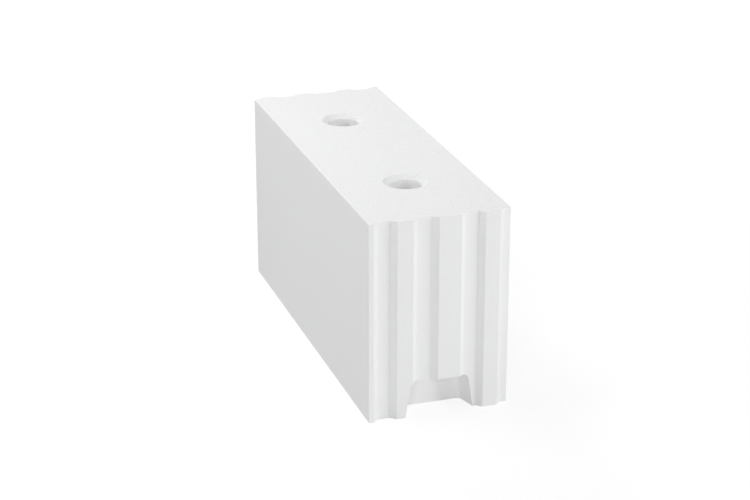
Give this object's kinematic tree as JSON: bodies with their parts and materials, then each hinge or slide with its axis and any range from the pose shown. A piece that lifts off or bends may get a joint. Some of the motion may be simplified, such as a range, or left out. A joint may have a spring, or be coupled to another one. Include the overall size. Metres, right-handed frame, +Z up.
{
  "type": "calcium silicate block",
  "caption": "Plain white masonry block with tongue-and-groove ends, upright lifting holes in its top face and grip pockets at the foot of its ends.",
  "frame": {"origin": "middle of the bed face that the block stands on", "axes": "+X along the block, towards the end whose outline has its narrow edge tongue on the -Y side; +Y across the block, the thickness of the wall; +Z up"},
  "size_m": [0.504, 0.175, 0.249],
  "materials": {
    "calcium_silicate": "matte"
  },
  "bodies": {
    "root": {"block": "calcium_silicate"}
  },
  "joints": []
}
